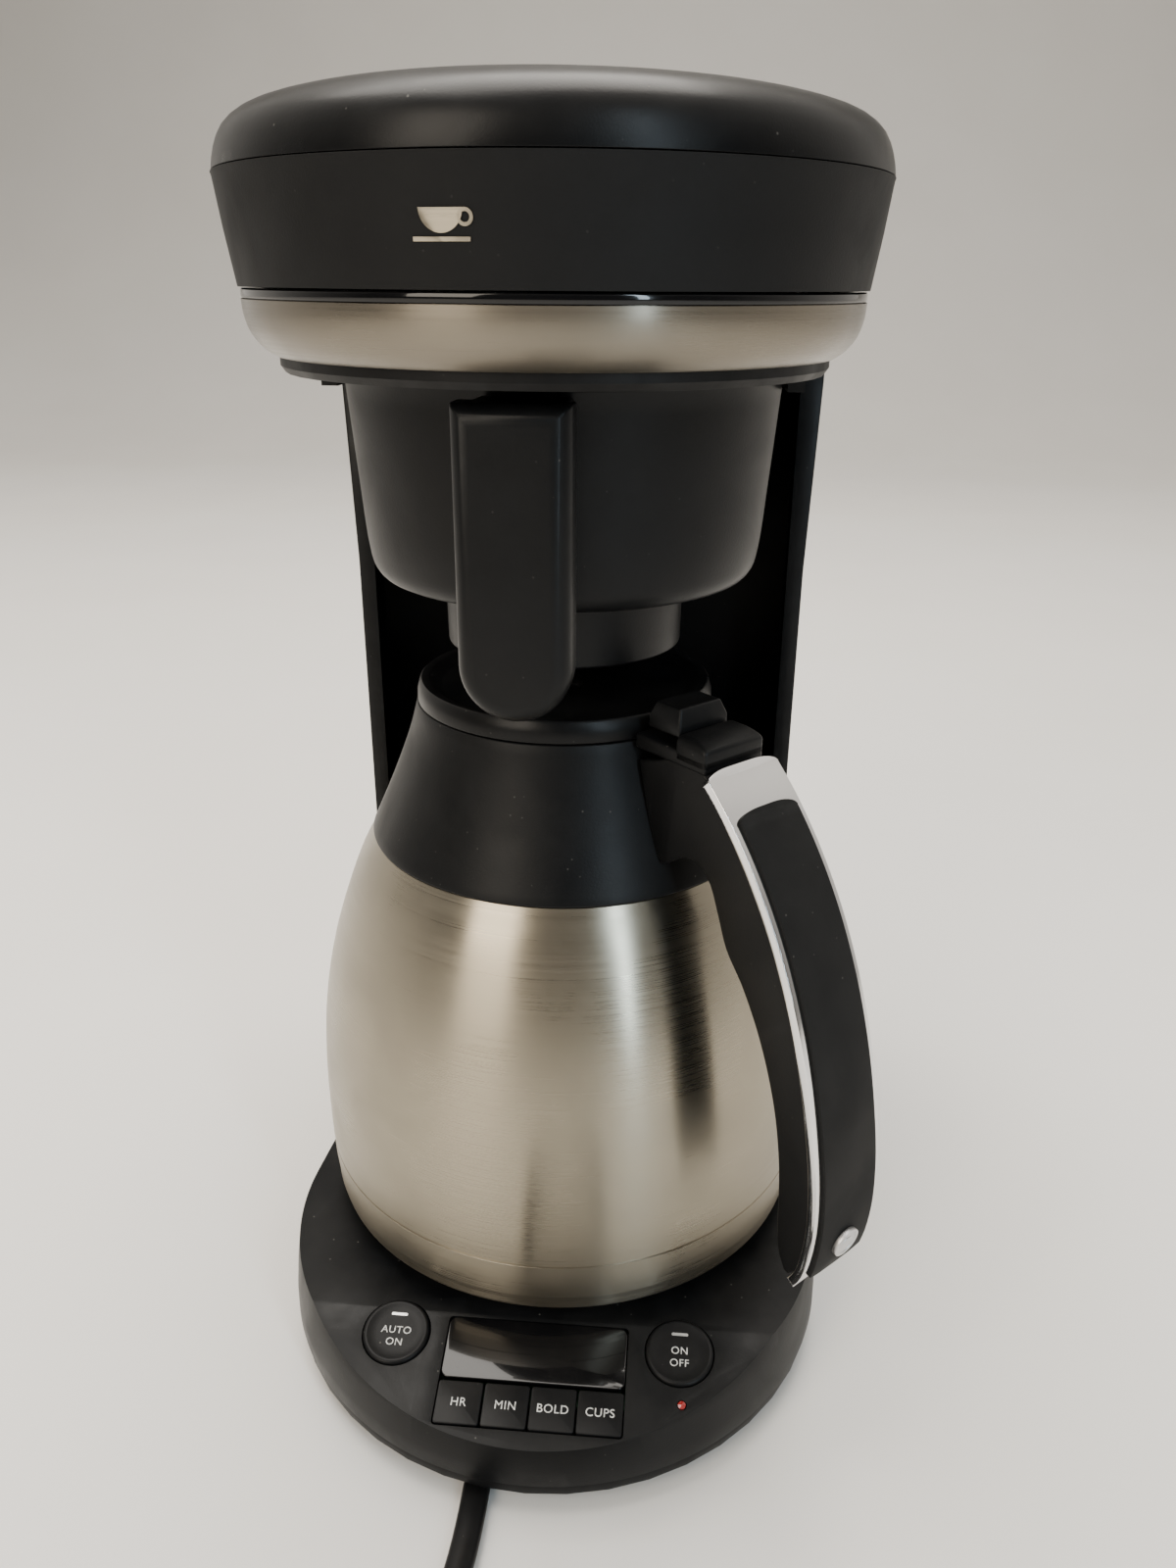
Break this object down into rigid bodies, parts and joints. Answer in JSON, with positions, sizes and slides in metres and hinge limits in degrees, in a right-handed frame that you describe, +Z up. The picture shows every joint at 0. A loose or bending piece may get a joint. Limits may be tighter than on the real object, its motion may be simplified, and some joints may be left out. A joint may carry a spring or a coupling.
{
  "type": "drip coffee maker",
  "caption": "Upright drip coffee maker: round domed head on a rear column, hanging brew basket, sloped control base and steel thermal carafe.",
  "frame": {"origin": "middle of the whole machine's footprint on the table, carafe handle included and power cord left out", "axes": "+Z up, the control panel and the basket handle face -Y, +X to the machine's right as seen from the front"},
  "size_m": [0.1923, 0.4102, 0.3844],
  "materials": {
    "soft_black_plastic": "fine satin moulded black plastic",
    "gloss_black_plastic": "glossy black",
    "black_rubber": "matt black",
    "cord_black": "satin black vinyl",
    "brushed_steel": "brushed stainless steel",
    "plain_steel": "plain steel",
    "chrome": "bright plated",
    "aluminium": "cast",
    "smoked_plastic": "smoked, semi-gloss",
    "silicone": "translucent silicone",
    "display_glass": "liquid crystal module",
    "circuit_board": "printed circuit board",
    "red_lens": "dark red lens"
  },
  "bodies": {
    "machine": {"base_shell": "soft_black_plastic", "base_plate": "soft_black_plastic", "base_screw_1": "plain_steel", "base_screw_2": "plain_steel", "base_screw_3": "plain_steel", "base_screw_4": "plain_steel", "foot_1": "black_rubber", "foot_2": "black_rubber", "foot_3": "black_rubber", "foot_4": "black_rubber", "seat_pad": "black_rubber", "display_lens": "gloss_black_plastic", "display_module": "display_glass", "status_light": "red_lens", "control_board": "circuit_board", "column_shell": "soft_black_plastic", "water_tank": "smoked_plastic", "check_valve": "black_rubber", "heating_element": "aluminium", "cold_hose": "silicone", "riser_tube": "silicone", "thermostat": "plain_steel", "head_floor": "soft_black_plastic", "head_bowl": "brushed_steel", "head_band": "gloss_black_plastic", "head_ring": "soft_black_plastic", "upper_tray": "soft_black_plastic", "shower_head": "soft_black_plastic", "lid_hinge_pin": "plain_steel", "strain_relief": "black_rubber", "power_cord": "cord_black", "power_cord_coil": "cord_black", "cord_tie": "black_rubber", "power_plug": "cord_black", "plug_blade_narrow": "plain_steel", "plug_blade_wide": "plain_steel"},
    "lid": {"lid": "soft_black_plastic"},
    "brew_basket": {"basket_shell": "soft_black_plastic", "filter_basket": "soft_black_plastic", "basket_handle": "soft_black_plastic"},
    "drip_stop": {"drip_plunger": "soft_black_plastic", "drip_spring": "plain_steel"},
    "carafe": {"carafe_body": "brushed_steel", "carafe_foot": "soft_black_plastic", "carafe_shoulder": "soft_black_plastic", "carafe_flask": "brushed_steel", "carafe_lid": "soft_black_plastic", "lid_seal": "black_rubber", "carafe_handle": "soft_black_plastic", "handle_trim": "chrome", "handle_grip": "black_rubber", "medallion": "plain_steel", "lever_pin": "plain_steel"},
    "thumb_lever": {"thumb_lever": "soft_black_plastic"},
    "hour_key": {"hour_key": "soft_black_plastic"},
    "minute_key": {"minute_key": "soft_black_plastic"},
    "bold_key": {"bold_key": "soft_black_plastic"},
    "cups_key": {"cups_key": "soft_black_plastic"},
    "auto_button": {"auto_button": "soft_black_plastic"},
    "power_button": {"power_button": "soft_black_plastic"}
  },
  "joints": [
    {"name": "lid_hinge", "type": "hinge", "parent": "machine", "child": "lid", "pos_m": [-0.0033, 0.1345, 0.3665], "axis": [-1, 0, 0], "range_deg": [0, 80]},
    {"name": "basket_slide", "type": "slide", "parent": "machine", "child": "brew_basket", "axis": [0, -1, 0], "range_m": [0, 0.175]},
    {"name": "drip_stop_slide", "type": "slide", "parent": "brew_basket", "child": "drip_stop", "axis": [0, 0, 1], "range_m": [0, 0.003], "stiffness_N_per_m": 120, "springref_m": -0.004, "deforming": ["drip_spring"]},
    {"name": "carafe_slide", "type": "slide", "parent": "machine", "child": "carafe", "axis": [0, -1, 0], "range_m": [0, 0.24]},
    {"name": "lever_hinge", "type": "hinge", "parent": "carafe", "child": "thumb_lever", "pos_m": [0.04394, -0.06542, 0.2244], "axis": [-0.7193, -0.6947, 0], "range_deg": [0, 6], "stiffness_Nm_per_rad": 0.12, "springref_deg": -17.19},
    {"name": "hour_key_press", "type": "slide", "parent": "machine", "child": "hour_key", "axis": [0, 0.225, -0.9744], "range_m": [0, 0.001], "stiffness_N_per_m": 700, "springref_m": -0.0012},
    {"name": "minute_key_press", "type": "slide", "parent": "machine", "child": "minute_key", "axis": [0, 0.225, -0.9744], "range_m": [0, 0.001], "stiffness_N_per_m": 700, "springref_m": -0.0012},
    {"name": "bold_key_press", "type": "slide", "parent": "machine", "child": "bold_key", "axis": [0, 0.225, -0.9744], "range_m": [0, 0.001], "stiffness_N_per_m": 700, "springref_m": -0.0012},
    {"name": "cups_key_press", "type": "slide", "parent": "machine", "child": "cups_key", "axis": [0, 0.225, -0.9744], "range_m": [0, 0.001], "stiffness_N_per_m": 700, "springref_m": -0.0012},
    {"name": "auto_button_press", "type": "slide", "parent": "machine", "child": "auto_button", "axis": [0, 0.225, -0.9744], "range_m": [0, 0.0012], "stiffness_N_per_m": 700, "springref_m": -0.0012},
    {"name": "power_button_press", "type": "slide", "parent": "machine", "child": "power_button", "axis": [0, 0.225, -0.9744], "range_m": [0, 0.0012], "stiffness_N_per_m": 700, "springref_m": -0.0012}
  ]
}
